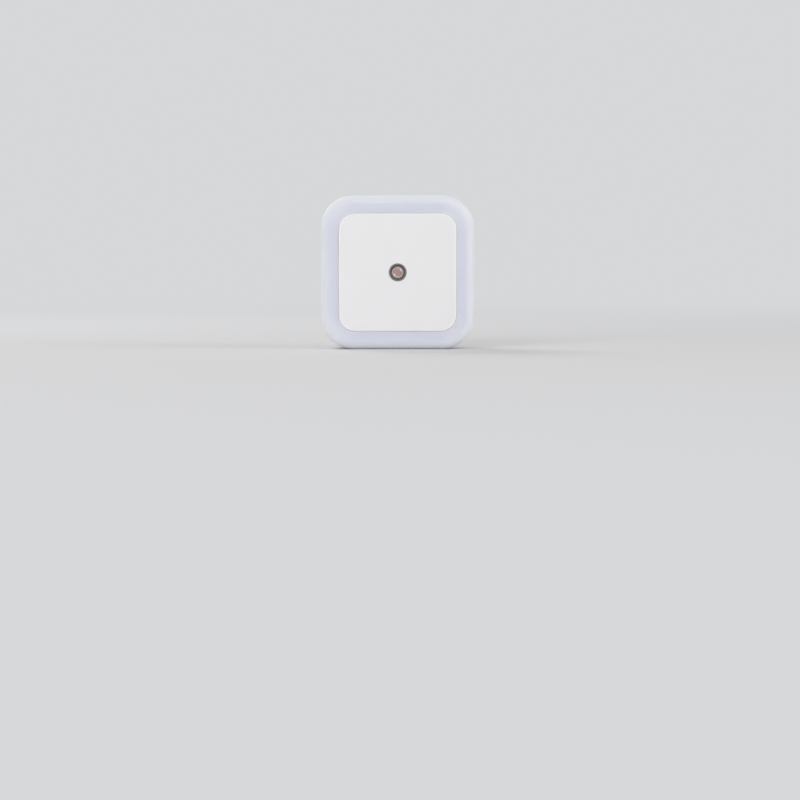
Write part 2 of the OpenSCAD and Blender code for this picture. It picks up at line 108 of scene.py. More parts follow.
class Surface:
    """One material with a Principled shader, and short ways to add nodes to it."""

    def __init__(self, name, **values):
        self.material = bpy.data.materials.new(name)
        self.material.use_nodes = True
        self.tree = self.material.node_tree
        self.shader = self.tree.nodes["Principled BSDF"]
        self.place = self.node("TexCoord").outputs["Object"]
        for socket, value in values.items():
            self.shader.inputs[socket.replace("_", " ")].default_value = value

    def node(self, kind, **settings):
        made = self.tree.nodes.new("ShaderNode" + kind)
        for setting, value in settings.items():
            setattr(made, setting, value)
        return made

    def put(self, socket, value):
        """Gives a socket a number, a colour or another node's output."""
        if isinstance(value, bpy.types.NodeSocket):
            self.tree.links.new(value, socket)
        else:
            socket.default_value = value

    def set(self, socket, value):
        self.put(self.shader.inputs[socket], value)

    def given(self, socket):
        """The output that the shader's socket is linked to."""
        return self.shader.inputs[socket].links[0].from_socket

    def math(self, operation, first, second=0.0, third=0.0):
        made = self.node("Math", operation=operation)
        for socket, value in zip(made.inputs, (first, second, third)):
            self.put(socket, value)
        return made.outputs[0]

    def hypot(self, first, second):
        """Length of the long side of a right-angled triangle."""
        squares = [self.math("MULTIPLY", side, side) for side in (first, second)]
        return self.math("SQRT", self.math("ADD", *squares))

    def axes(self):
        """The place on the object along X, Y and Z."""
        made = self.node("SeparateXYZ")
        self.put(made.inputs[0], self.place)
        return made.outputs

    def from_middle(self, node):
        """Where a point lies from a part's middle, along X, along Z and straight."""
        low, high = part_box(node)
        across, _, up = self.axes()
        x = self.math("SUBTRACT", across, (low.x + high.x) / 2)
        z = self.math("SUBTRACT", up, (low.z + high.z) / 2)
        return x, z, self.hypot(x, z)

    def noise(self, size, detail=2.0, stretch=None):
        """Smooth random values from 0 to 1, in patches of about the given size."""
        made = self.node("TexNoise")
        made.inputs["Scale"].default_value = 1 / size
        made.inputs["Detail"].default_value = detail
        place = self.place
        if stretch:
            scaled = self.node("VectorMath", operation="MULTIPLY")
            self.put(scaled.inputs[0], place)
            self.put(scaled.inputs[1], stretch)
            place = scaled.outputs[0]
        self.put(made.inputs["Vector"], place)
        return made.outputs["Fac"]

    def span(self, value, low, high, start=0.0, end=1.0, kind="LINEAR"):
        """Takes a value from the range start to end into the range low to high, held at both."""
        made = self.node("MapRange", interpolation_type=kind)
        for socket, number in zip(made.inputs, (value, start, end, low, high)):
            self.put(socket, number)
        return made.outputs[0]

    def ramp(self, value, stops):
        """Colour that changes along a value, from (place, colour) stops."""
        made = self.node("ValToRGB")
        steps = made.color_ramp.elements
        while len(steps) < len(stops):
            steps.new(0.5)
        for step, (place, colour) in zip(steps, stops):
            step.position = place
            step.color = colour
        self.put(made.inputs[0], value)
        return made.outputs["Color"]

    def shades(self, grain, dark, light):
        """Colour that follows a noise, from a dark shade to a light one."""
        return self.ramp(grain, [(NOISE[0], dark), (NOISE[1], light)])

    def uneven(self, grain, colour, spread):
        """Colour that a noise makes darker and lighter by a share."""
        return self.shades(grain, tone(colour, 1 - spread), tone(colour, 1 + spread))

    def mix(self, share, first, second):
        made = self.node("Mix", data_type="RGBA")
        for name, value in (("Factor_Float", share), ("A_Color", first), ("B_Color", second)):
            self.put(next(s for s in made.inputs if s.identifier == name), value)
        return next(s for s in made.outputs if s.identifier == "Result_Color")

    def within(self, value, centre, width):
        """1 in a band of a value, and 0 outside it."""
        off = self.math("ABSOLUTE", self.math("SUBTRACT", value, centre))
        return self.math("LESS_THAN", off, width / 2)

    def between_ends(self, node, axis, spare):
        """1 on a part's body, and 0 on the wires or feet at its two ends along an axis."""
        low, high = (corner[axis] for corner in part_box(node))
        return self.within(self.axes()[axis], (low + high) / 2, high - low - 2 * spare)

    def bump(self, height, depth):
        """Raises the surface by up to depth, in metres."""
        made = self.node("Bump")
        made.inputs["Distance"].default_value = depth
        self.put(made.inputs["Height"], height)
        self.set("Normal", made.outputs[0])

    def texture(self, grain, smooth, rough, relief):
        """Roughness and fine relief that follow a noise."""
        self.set("Roughness", self.span(grain, smooth, rough, *NOISE))
        self.bump(grain, relief)


# A little light gets into white plastic, which softens its edges.
WHITE_BODY = {"Subsurface_Weight": 0.35, "Subsurface_Radius": (1.0, 1.0, 1.0),
              "Subsurface_Scale": 0.8 * MM}


def moulded_plastic(name, colour, roughness, grain=0.25 * MM, relief=0.004 * MM, spread=0.015,
                    **values):
    """Injection-moulded plastic: faint flow marks in an even colour, and a fine eroded texture."""
    made = Surface(name, IOR=1.5, **values)
    made.set("Base Color", made.uneven(made.noise(14 * MM, 3), colour, spread))
    made.texture(made.noise(grain, 3), roughness - 0.06, roughness + 0.06, relief)
    return made


def off_middle(surface):
    """How far a point lies beside the middle of the body, and how far above or below it."""
    across, _, up = surface.axes()
    return (surface.math("ABSOLUTE", across),
            surface.math("ABSOLUTE", surface.math("SUBTRACT", up, body_z)))


def edge_distance(surface, width, radius):
    """How far a point lies inside an upright square with rounded corners, about the middle of the
    body."""
    corner = width / 2 - radius
    x, z = (surface.math("SUBTRACT", off, corner) for off in off_middle(surface))
    outside = surface.hypot(surface.math("MAXIMUM", x, 0.0), surface.math("MAXIMUM", z, 0.0))
    inside = surface.math("MINIMUM", surface.math("MAXIMUM", x, z), 0.0)
    return surface.math("SUBTRACT", radius, surface.math("ADD", outside, inside))


# The diffuser's colours, from its rim at 0 to the cover at 1: its own lilac, with painted light that
# makes the rim the brightest, standing for light through the milky plastic.
RING_GLOW_COLOURS = [(0.0, srgb(229, 229, 234)), (0.25, srgb(225, 227, 236)),
                (0.38, srgb(220, 223, 234)), (0.5, srgb(216, 219, 232)), (1.0, srgb(215, 218, 232))]
RING_DRIFT = 0.06           # how far clouds in the plastic shift them
SEAT_LIGHT_START = 0.88            # where the painted highlight next to the cover starts, a pale band against the shade there
CORNER_GLOW_SHARE = 0.4          # how much of the painted glow, a paler colour, the corners have
CORNER_GLOW_FADE = (-2 * MM, 6 * MM)     # the painted glow comes in between these, from where the corners start


def milky_plastic():
    """Milky lilac plastic that lets light through. Painted light in its colour: a painted glow
    brightest at the rim, then greyer, paler corners from a painted glow, and a painted highlight where
    it meets the cover, against the shade there."""
    made = Surface("milky_diffuser", IOR=1.49, Subsurface_Weight=0.8,
                   Subsurface_Radius=(1.0, 1.0, 1.0), Subsurface_Scale=3.0 * MM)
    share = made.math("DIVIDE", edge_distance(made, body_w, BODY_R), (body_w - cover_w) / 2)
    clouds = made.span(made.noise(22 * MM, 2), -RING_DRIFT, RING_DRIFT, *NOISE)
    # Painted glow: the colour is lightest at the rim and greyer towards the cover.
    shown = made.ramp(made.math("ADD", share, clouds), RING_GLOW_COLOURS)
    fade = [body_w / 2 - BODY_R + reach for reach in CORNER_GLOW_FADE]
    # Painted light: the corners get a paler colour.
    nearer = made.math("MINIMUM", *off_middle(made))
    corner = made.span(nearer, 0.0, CORNER_GLOW_SHARE, *fade, "SMOOTHSTEP")
    shown = made.mix(corner, shown, srgb(228, 230, 238))
    # Painted highlight: a pale band next to the cover, against the shade beside it.
    seat_light = made.span(share, 0.0, 1.0, SEAT_LIGHT_START, 1.0)
    made.set("Base Color", made.mix(seat_light, shown, srgb(238, 239, 247)))
    made.texture(made.noise(0.3 * MM, 3), 0.60, 0.70, 0.003 * MM)
    return made.material


def cover_plastic():
    """Opaque white plastic, with a painted highlight: paler on its rounded edge, standing for light
    that gets into it from the diffuser.
    """
    made = moulded_plastic("satin_cover", srgb(233, 232, 233), 0.48, relief=0.005 * MM,
                           spread=0.006, **WHITE_BODY)
    # Painted highlight: the rounded edge is paler than the face.
    depth = edge_distance(made, cover_w, COVER_R)
    face = made.span(depth, 0.0, 1.0, COVER_EDGE_R / 3, 1.5 * COVER_EDGE_R)
    made.set("Base Color", made.mix(face, srgb(247, 247, 250), made.given("Base Color")))
    return made.material


def housing_plastic():
    return moulded_plastic("white_housing", srgb(232, 232, 231), 0.5, spread=0.012,
                           **WHITE_BODY).material


def plug_plastic():
    return moulded_plastic("white_plug", srgb(231, 231, 228), 0.44, grain=0.35 * MM, spread=0.014,
                           **WHITE_BODY).material


def plated_brass():
    """Bright nickel over brass, with faint turning rings and fine scratches along the pins."""
    made = Surface("nickel_plate", Metallic=1.0)
    cloud = made.noise(7 * MM, 2)
    scratches = made.noise(0.2 * MM, 2, stretch=(1.0, 0.03, 1.0))
    rings = made.noise(0.15 * MM, 2, stretch=(0.05, 1.0, 0.05))
    made.set("Base Color", made.shades(cloud, srgb(212, 208, 198), srgb(222, 219, 211)))
    worn = made.math("MULTIPLY_ADD", scratches, 0.5, made.math("MULTIPLY", rings, 0.5))
    made.set("Roughness", made.span(worn, 0.18, 0.28, 0.35, 0.65))
    made.bump(worn, 0.0015 * MM)
    return made.material


def sleeve_plastic():
    return moulded_plastic("black_sleeve", srgb(48, 47, 49), 0.45, grain=0.3 * MM,
                           spread=0.12).material


def insulation(name, colour):
    return moulded_plastic(name, colour, 0.4, grain=0.4 * MM, spread=0.08).material


def solder_mask(name, dark, light, relief):
    """Green lacquer over glass cloth."""
    made = Surface(name, IOR=1.5, Coat_Weight=0.4, Coat_Roughness=0.15)
    cloth = made.noise(0.35 * MM, 2)
    made.set("Base Color", made.shades(cloth, dark, light))
    made.texture(cloth, 0.3, 0.42, relief)
    return made.material


def screw_steel():
    made = Surface("zinc_plated_steel", Metallic=1.0)
    spots = made.noise(0.5 * MM, 4)
    made.set("Base Color", made.shades(spots, srgb(188, 189, 192), srgb(208, 208, 206)))
    made.texture(spots, 0.25, 0.42, 0.005 * MM)
    return made.material


LED_WINDOW = (1.15 * MM, 1.22 * MM)     # radii between which an LED's round window ends


def led_package(node):
    """White ceramic with yellow phosphor in its round window."""
    made = Surface(node + "_finish", IOR=1.5)
    _, _, radius = made.from_middle(node)
    grain = made.noise(0.15 * MM, 3)
    phosphor = made.shades(grain, srgb(232, 208, 92), srgb(244, 224, 120))
    window = made.span(radius, 1.0, 0.0, *LED_WINDOW)
    made.set("Base Color", made.mix(window, srgb(238, 236, 228), phosphor))
    made.texture(grain, 0.35, 0.55, 0.004 * MM)
    return made.material


X, Z = 0, 2                 # numbers of the axes along and up the board
PART_WIRE_D = 0.6 * MM      # bare wires of the parts
WIRE_REACH = 4.5 * PART_WIRE_D      # an axial part's wires, out to the far side of their bends
FILM_WIRES = 3.5 * PART_WIRE_D      # the film capacitor's wires, above its case
BAND_W = 0.55 * MM          # a resistor's colour bands
BAND_START, BAND_PITCH, BAND_END = 0.1, 0.17, 0.9   # their places, as shares of its length
CATHODE_AT, CATHODE_W = 0.82, 0.8 * MM              # the diode's band
SLEEVE_LIP = 0.8 * MM       # the can's sleeve laps so far over its end
SLEEVE_T = 0.1 * MM
GULL_FOOT = 1.0 * MM        # a gull-wing foot's reach beside its part
CHIP_END = 0.5 * MM         # plating over each end of a chip
TIN = srgb(204, 204, 203)
BLACK, BROWN, GREEN, GOLD = (srgb(*colour) for colour in (
    (30, 28, 28), (92, 50, 26), (40, 120, 60), (186, 146, 60)))


def tinned(made, body, colour):
    """Gives a part its colour, and bright tin to the wires or feet outside its body."""
    made.set("Base Color", made.mix(body, TIN, colour))
    made.set("Metallic", made.math("SUBTRACT", 1.0, body))


def lacquered(name, colour, spread=0.1, roughness=0.3):
    """A glossy coat over an uneven body. Gives back the surface and its colour."""
    made = Surface(name, IOR=1.5, Coat_Weight=0.5, Coat_Roughness=0.1)
    patch = made.noise(1.2 * MM, 4)
    made.texture(patch, roughness - 0.08, roughness + 0.08, 0.02 * MM)
    return made, made.uneven(patch, colour, spread)


def axial_part(node, colour, axis, bands):
    """Lacquered body between two wires, with painted bands of (place as a share, width, colour)."""
    made, shown = lacquered(node + "_finish", colour)
    low, high = (corner[axis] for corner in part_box(node))
    start, end = low + WIRE_REACH, high - WIRE_REACH
    along = made.axes()[axis]
    for share, width, paint in bands:
        shown = made.mix(made.within(along, start + (end - start) * share, width), shown, paint)
    tinned(made, made.between_ends(node, axis, WIRE_REACH), shown)
    return made.material


def resistor(node, colour, *bands):
    """Four or more colour bands, the last of them apart from the others."""
    places = [BAND_START + BAND_PITCH * i for i in range(len(bands) - 1)] + [BAND_END]
    painted = [(place, BAND_W, paint) for place, paint in zip(places, bands)]
    return axial_part(node, colour, X, painted)


def film_case(node):
    """Yellow epoxy block with two wires out of its upper edge."""
    made, shown = lacquered("film_case", srgb(226, 178, 62), spread=0.05, roughness=0.35)
    _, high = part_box(node)
    tinned(made, made.math("LESS_THAN", made.axes()[Z], high.z - FILM_WIRES), shown)
    return made.material


def can_sleeve(node):
    """Dark sleeve with a pale stripe down its negative side, shrunk over an aluminium can's rim."""
    made, shown = lacquered("can_sleeve", srgb(38, 48, 66), spread=0.06)
    low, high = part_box(node)
    can_r = (high.x - low.x) / 2
    x, z, radius = made.from_middle(node)
    side = made.math("LESS_THAN", made.math("ABSOLUTE", z), can_r / 3)
    stripe = made.math("MULTIPLY", side, made.math("GREATER_THAN", x, 0.0))
    _, depth, _ = made.axes()
    end = made.math("MULTIPLY", made.math("LESS_THAN", radius, can_r - SLEEVE_LIP),
                    made.math("GREATER_THAN", depth, high.y - SLEEVE_T))
    tinned(made, made.math("SUBTRACT", 1.0, end), made.mix(stripe, shown, srgb(176, 182, 190)))
    return made.material


def moulded_part(node, axis, spare):
    """Black moulding or ceramic, with tinned feet or ends."""
    made = Surface(node + "_finish", IOR=1.5)
    grain = made.noise(0.2 * MM, 3)
    made.texture(grain, 0.45, 0.62, 0.004 * MM)
    black = made.shades(grain, srgb(34, 34, 35), srgb(46, 46, 47))
    tinned(made, made.between_ends(node, axis, spare), black)
    return made.material


def dress(material, *names):
    """Gives CAD nodes a finish."""
    for name in names:
        for place in nodes[name].material_slots:
            place.material = material


dress(housing_plastic(), "rear_housing")
dress(plug_plastic(), "plug_body")
dress(plated_brass(), "live_pin", "neutral_pin")
dress(sleeve_plastic(), "live_pin_sleeve", "neutral_pin_sleeve")
dress(insulation("brown_lead", srgb(112, 66, 40)), "live_lead")
dress(insulation("blue_lead", srgb(52, 104, 172)), "neutral_lead")
dress(solder_mask("green_board", srgb(24, 84, 50), srgb(30, 96, 58), 0.01 * MM), "circuit_board")
dress(screw_steel(), "board_screws")
for led in ("led_top", "led_bottom", "led_left", "led_right"):
    dress(led_package(led), led)
dress(resistor("fusible_resistor", srgb(206, 186, 150), BROWN, BLACK, BLACK, GOLD), "fusible_resistor")
dress(resistor("bleed_resistor", srgb(214, 190, 146), BROWN, BLACK, GREEN, GOLD), "bleed_resistor")
dress(axial_part("zener_diode", srgb(204, 96, 52), Z, [(CATHODE_AT, CATHODE_W, BLACK)]), "zener_diode")
dress(film_case("film_capacitor"), "film_capacitor")
dress(can_sleeve("electrolytic_capacitor"), "electrolytic_capacitor")
for name, axis, spare in (("bridge_rectifier", Z, GULL_FOOT), ("transistor", Z, GULL_FOOT),
                          ("sensor_resistor", X, CHIP_END), ("led_resistor", X, CHIP_END)):
    dress(moulded_part(name, axis, spare), name)


# ---- Helpers for shapes ----

QUARTERS = ((1, 0), (0, 1), (-1, 0), (0, -1))   # cosine and sine of each quarter turn
RIBBON_TOP = 0.85           # width of a ribbon's top, as a share of its foot
ROUND_STEPS = 96            # faces round a turned piece
SAME_POINT = 1e-7           # points closer than this become one


def arc(middle, radius, start, end, steps):
    """Points along an arc, angles in degrees."""
    angles = [math.radians(start + (end - start) * i / steps) for i in range(steps + 1)]
    return [(middle[0] + radius * math.cos(angle), middle[1] + radius * math.sin(angle))
            for angle in angles]


def circle(middle, radius, steps):
    """Points all round a circle, none of them twice."""
    return arc(middle, radius, 0, 360 * (steps - 1) / steps, steps - 1)


def rotated(x, z, cos, sin):
    """A point turned about (0, 0), by the angle with this cosine and sine."""
    return x * cos - z * sin, x * sin + z * cos


def added(name, data):
    """A new object in the scene, at the origin."""
    made = bpy.data.objects.new(name, data)
    bpy.context.scene.collection.objects.link(made)
    return made


def mesh_from(name, build):
    """A mesh with its normals outwards, from a function that fills an empty bmesh."""
    shape = bmesh.new()
    build(shape)
    bmesh.ops.recalc_face_normals(shape, faces=shape.faces)
    made = bpy.data.meshes.new(name)
    shape.to_mesh(made)
    shape.free()
    return made


def turned(shape, profile, place, steps):
    """Adds a solid of revolution, from (radius, depth) points and a function that places (x, z,
    depth). The profile starts and ends on the axis, or else it is closed into a ring."""
    rings = []
    for radius, depth in profile:
        points = circle((0, 0), radius, steps) if radius else [(0, 0)]
        rings.append([shape.verts.new(place(x, z, depth)) for x, z in points])
    following = rings[1:] if profile[0][0] == 0 else rings[1:] + rings[:1]
    for ring, other in zip(rings, following):
        for i in range(steps):
            corners = (ring[i % len(ring)], ring[(i + 1) % len(ring)],
                       other[(i + 1) % len(other)], other[i % len(other)])
            shape.faces.new(dict.fromkeys(corners))


def ribbon(shape, line, width, top, bottom, place):
    """Adds a flat ribbon with sloping edges along a line of (x, z) points, between two depths."""
    section = ((-1, bottom), (-RIBBON_TOP, top), (RIBBON_TOP, top), (1, bottom))
    rows = []
    for i, (x, z) in enumerate(line):
        before, after = line[max(i - 1, 0)], line[min(i + 1, len(line) - 1)]
        along = Vector((after[0] - before[0], after[1] - before[1])).normalized()
        across = Vector((-along.y, along.x)) * width / 2
        rows.append([shape.verts.new(place(x + side * across.x, z + side * across.y, depth))
                     for side, depth in section])
    for row, other in zip(rows, rows[1:]):
        for i in range(len(section)):
            following = (i + 1) % len(section)
            shape.faces.new((row[i], row[following], other[following], other[i]))
    shape.faces.new(rows[0])
    shape.faces.new(rows[-1])


def new_piece(name, mesh, material, sharp=35):
    """Hangs a finished mesh on the light, with smooth faces and crisp edges."""
    mesh.materials.append(material)
    mesh.shade_smooth()
    mesh.set_sharp_from_angle(angle=math.radians(sharp))
    made = added(name, mesh)
    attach(made, "root")
    return made


def turned_piece(name, profile, place, material, steps=ROUND_STEPS):
    """Hangs a solid of revolution on the light."""
    mesh = mesh_from(name, lambda shape: turned(shape, profile, place, steps))
    return new_piece(name, mesh, material)


# ---- The dusk sensor ----

CELL_T = 2.1 * MM           # thickness of the photocell
CELL_EDGE_R = 0.12 * MM     # rounds its front edge, and bevels the back one
CELL_EDGE_STEPS = 8
CELL_TURN = math.radians(42)    # how far it is turned in its holder
LEAD_AT = 1.7 * MM          # its two leads, from its middle
WIRE_R = 0.3 * MM
JOINT_R = 0.5 * MM          # solder over the end of each lead
LEAD_STEPS = 32             # faces round each lead and its solder
LAYER_T = 0.04 * MM         # thickness of each printed layer on its face
PLATE_R = 2.3 * MM          # the silver electrodes
TRACK_W = 0.34 * MM         # the light-sensitive track that snakes between them
TRACK_PITCH = 0.72 * MM
TRACK_REACH = 1.1 * MM      # how far its bends stand from the middle
TRACK_PASSES = 5
TRACK_STEPS = 12            # parts of each of its runs and bends
MOUTH_WALL = 0.3 * MM       # lip of the shroud
MOUTH_DEPTH = 1.3 * MM      # its flared mouth
FLARE_POWER = 1.6           # it narrows fastest at the lip, and meets the bore smoothly
FLARE_STEPS = 10
BORE_GAP = 0.15 * MM        # between the shroud's bore and the photocell
LIP_R = 0.1 * MM            # rounds the lip's edges
LIP_STEPS = 6
MOUTH_SHADE_FADE = 0.5 * MM         # so far in, the lip's colour has become the mouth's painted shade

cell_low, cell_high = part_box("photoresistor")
cell_middle = Vector(((cell_low.x + cell_high.x) / 2, cell_low.y, (cell_low.z + cell_high.z) / 2))
cell_r = (cell_high.x - cell_low.x) / 2


def on_cell(x, z, depth):
    """A place on the photocell's face, from its middle, and so far behind the face."""
    x, z = rotated(x, z, math.cos(CELL_TURN), math.sin(CELL_TURN))
    return cell_middle + Vector((x, depth, z))


def rounded_lip(middle, edge_r, start, end, steps):
    """Points along the rounded edge of a turned piece's face, as (radius, depth behind it)."""
    return [(x, edge_r - y) for x, y in arc((middle, 0), edge_r, start, end, steps)]


def track_line():
    """Middle line of the track, which snakes across the face."""
    line = []
    turn_r = TRACK_PITCH / 2
    run_end = TRACK_REACH - turn_r
    for i in range(TRACK_PASSES):
        z = (i - (TRACK_PASSES - 1) / 2) * TRACK_PITCH
        side = 1 if i % 2 == 0 else -1
        line += [(side * run_end * (2 * k / TRACK_STEPS - 1), z) for k in range(TRACK_STEPS + 1)]
        if i < TRACK_PASSES - 1:
            bend = arc((run_end, z + turn_r), turn_r, -90, 90, TRACK_STEPS)
            line += [(side * x, y) for x, y in bend[1:-1]]
    return line


def under_resin(name, colour, spread, size, **values):
    """A layer of the photocell, seen through the clear resin that seals it."""
    made = Surface(name, Coat_Weight=0.9, Coat_Roughness=0.06, **values)
    patch = made.noise(size, 4)
    made.set("Base Color", made.uneven(patch, colour, spread))
    made.texture(patch, 0.35, 0.6, 0.01 * MM)
    return made.material


def tinned_wire():
    made = Surface("tinned_wire", Metallic=1.0)
    spots = made.noise(0.3 * MM, 3)
    made.set("Base Color", made.shades(spots, srgb(196, 196, 198), srgb(214, 213, 210)))
    made.texture(spots, 0.22, 0.36, 0.004 * MM)
    return made.material


def photocell():
    """Ceramic disc with silver electrodes and a snaking track on its face, and two leads behind."""
    face = 2 * LAYER_T
    back = cell_high.y - cell_low.y
    front = [(0, 0), (cell_r / 2, 0)]
    front += rounded_lip(cell_r - CELL_EDGE_R, CELL_EDGE_R, 90, 0, CELL_EDGE_STEPS)
    body = [(radius, face + depth) for radius, depth in front]
    body += [(cell_r, CELL_T - CELL_EDGE_R), (cell_r - CELL_EDGE_R, CELL_T), (0, CELL_T)]
    pink = under_resin("cell_ceramic", srgb(188, 170, 167), 0.06, 0.8 * MM)
    ceramic = turned_piece("photocell_disc", body, on_cell, pink)
    plate = [(0, LAYER_T), (PLATE_R - LAYER_T, LAYER_T), (PLATE_R, face), (0, face)]
    silver = under_resin("cell_silver", srgb(190, 171, 171), 0.13, 0.35 * MM, Metallic=0.2)
    turned_piece("photocell_electrodes", plate, on_cell, silver)
    track = mesh_from("photocell_track",
                      lambda shape: ribbon(shape, track_line(), TRACK_W, 0.0, LAYER_T, on_cell))
    sulphide = under_resin("cell_sulphide", srgb(158, 102, 88), 0.14, 0.25 * MM)
    new_piece("photocell_track", track, sulphide)
    dome = [(0, 0), (JOINT_R / 2, LAYER_T / 4), (JOINT_R, face), (0, face)]
    wire = [(0, CELL_T), (WIRE_R, CELL_T), (WIRE_R, back), (0, back)]
    solder = under_resin("cell_solder", srgb(224, 222, 216), 0.05, 0.2 * MM, Metallic=0.3)
    tin = tinned_wire()
    for side, name in ((-1, "left"), (1, "right")):
        def place(x, z, depth, at=side * LEAD_AT):
            return on_cell(x + at, z, depth)

        turned_piece("photocell_joint_" + name, dome, place, solder, LEAD_STEPS)
        turned_piece("photocell_lead_" + name, wire, place, tin, LEAD_STEPS)
    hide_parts("photoresistor")


def shroud_plastic(lip_y):
    """Dark grey plastic with painted shade: paler on the lip and darker down in the mouth."""
    made = Surface("dark_shroud", IOR=1.5)
    _, depth, _ = made.axes()
    inside = made.span(depth, 0.0, 1.0, lip_y + LIP_R, lip_y + MOUTH_SHADE_FADE)
    flow = made.noise(1.5 * MM, 3)
    lip = made.shades(flow, srgb(128, 124, 125), srgb(142, 138, 139))
    # Painted shade: the mouth is darker than the lip.
    mouth = made.shades(flow, srgb(88, 82, 84), srgb(102, 96, 97))
    made.set("Base Color", made.mix(inside, lip, mouth))
    made.texture(made.noise(0.18 * MM, 3), 0.42, 0.56, 0.004 * MM)
    return made.material


def shroud():
    """Tube round the photocell, with a rounded lip and a mouth that flares out of the bore."""
    low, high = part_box("sensor_shroud")
    outer = (high.x - low.x) / 2
    length = high.y - low.y
    bore = cell_r + BORE_GAP
    mouth = outer - MOUTH_WALL
    profile = [(outer, length)]
    profile += rounded_lip(outer - LIP_R, LIP_R, 0, 90, LIP_STEPS)
    profile += rounded_lip(mouth + LIP_R, LIP_R, 90, 180, LIP_STEPS)
    for i in range(1, FLARE_STEPS + 1):
        share = i / FLARE_STEPS
        profile.append((bore + (mouth - bore) * (1 - share) ** FLARE_POWER,
                        LIP_R + (MOUTH_DEPTH - LIP_R) * share))
    profile.append((bore, length))

    def place(x, z, depth):
        return Vector((cell_middle.x + x, low.y + depth, cell_middle.z + z))

    made = turned_piece("shroud_tube", profile, place, shroud_plastic(low.y))
    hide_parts("sensor_shroud")


# ---- The diffuser and its cover ----

CORNER_STEPS = 24           # faces round each corner
RIM_STEPS = 20              # faces across the diffuser's rim outside
RIM_INNER_STEPS = 8         # and inside
COVER_EDGE_STEPS = 8        # across the cover's front edge
EDGE_R = 0.1 * MM           # the small rounding of a moulded edge
EDGE_STEPS = 4              # across such an edge
BACK_EDGE_STEPS = 3         # across the one round the diffuser's back
EASE = 0.4 * MM             # a second point so near a straight's ends keeps it flat to the eye
HOOK_W, HOOK_T, HOOK_BARB, HOOK_TIP = 5 * MM, 1.2 * MM, 0.6 * MM, 1.2 * MM
HOOK_PITCH = 28 * MM        # between the two hooks on one side
HOOK_INSET = 3 * MM         # from the cover's edge
SLOT_CUT = (-1 * MM, 3 * MM)    # each hook's slot is cut between these, from the seat's face
BEAD_R, BEAD_L = 0.6 * MM, 14 * MM      # snap beads on the rear housing
BEAD_PROUD = 0.35 * MM
BEAD_RISE = 1.8 * MM        # their middle, in front of the parting line
BEAD_STEPS = 24             # faces round a bead's groove

cover_face = cover_low.y
seat_y = cover_face + COVER_T
shroud_low, shroud_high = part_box("sensor_shroud")
hole_w = shroud_high.x - shroud_low.x + 2 * FIT_GAP


def square_ring(width, radius, y):
    """Points round an upright square with rounded corners, about the middle of the body."""
    reach = width / 2 - radius
    ease = min(EASE, reach / 2)
    corner = [(width / 2, reach - ease)] + arc((reach, reach), radius, 0, 90, CORNER_STEPS)
    corner += [(reach - ease, width / 2)]
    points = [rotated(x, z, *quarter) for quarter in QUARTERS for x, z in corner]
    return [Vector((x, y, body_z + z)) for x, z in points]


def squares_mesh(name, rings):
    """A ring-shaped solid, whose section runs through rounded squares of (width, radius, y)."""
    def build(shape):
        rows = [[shape.verts.new(point) for point in square_ring(*ring)] for ring in rings]
        for row, other in zip(rows, rows[1:] + rows[:1]):
            for i in range(len(row)):
                following = (i + 1) % len(row)
                shape.faces.new((row[i], row[following], other[following], other[i]))
        bmesh.ops.remove_doubles(shape, verts=shape.verts, dist=SAME_POINT)

    return mesh_from(name, build)


def rounded_edge(width, radius, y, edge_r, start, end, steps):
    """Squares along a rounded edge, about a centre line of the given width, radius and y. Angle 0
    is outwards from the middle of the body, and 90 is to the front."""
    return [(width + 2 * out, radius + out, y - forward)
            for out, forward in arc((0, 0), edge_r, start, end, steps)]


def prism_mesh(name, outline, start, end):
    """A solid with the same outline, of (y, z) points, from one x to another."""
    def build(shape):
        near, far = [[shape.verts.new((x, y, z)) for y, z in outline] for x in (start, end)]
        shape.faces.new(near)
        shape.faces.new(far)
        for i in range(len(outline)):
            following = (i + 1) % len(outline)
            shape.faces.new((near[i], near[following], far[following], far[i]))

    return mesh_from(name, build)


def combined(mesh, others, operation):
    """The mesh joined with the others, or with them cut away."""
    target = added("target", mesh)
    tools = [added("tool", other) for other in others]
    for tool in tools:
        step = target.modifiers.new("step", "BOOLEAN")
        step.operation = operation
        step.solver = "EXACT"
        step.object = tool
    done = target.evaluated_get(bpy.context.evaluated_depsgraph_get())
    made = bpy.data.meshes.new_from_object(done)
    for used in [target] + tools:
        bpy.data.objects.remove(used)
    return made


def at_hooks(make):
    """One mesh for each of the cover's four hooks, from its x and its side of the cover."""
    return [make(x, side) for x in (-HOOK_PITCH / 2, HOOK_PITCH / 2) for side in (-1, 1)]


def hook(x, side):
    """Leg behind the cover, with a sloping barb that catches behind the diffuser."""
    line = cover_w / 2 - HOOK_INSET
    catch = WALL + FIT_GAP
    section = [(-HOOK_T, -COVER_T / 2), (0, -COVER_T / 2), (0, catch), (HOOK_BARB, catch),
               (0, catch + HOOK_TIP), (-HOOK_T, catch + HOOK_TIP)]
    outline = [(seat_y + back, body_z + side * (line + out)) for out, back in section]
    return prism_mesh("hook", outline, x - HOOK_W / 2, x + HOOK_W / 2)


def hook_slot(x, side):
    """Cutter for the slot that a hook goes through, with room on its inner side to bend."""
    line = cover_w / 2 - HOOK_INSET
    inner, outer = line - HOOK_T - HOOK_BARB - FIT_GAP, line + FIT_GAP
    start, end = (seat_y + cut for cut in SLOT_CUT)
    outline = [(y, body_z + side * z)
               for y, z in ((start, inner), (start, outer), (end, outer), (end, inner))]
    return prism_mesh("slot", outline, x - HOOK_W / 2 - FIT_GAP, x + HOOK_W / 2 + FIT_GAP)


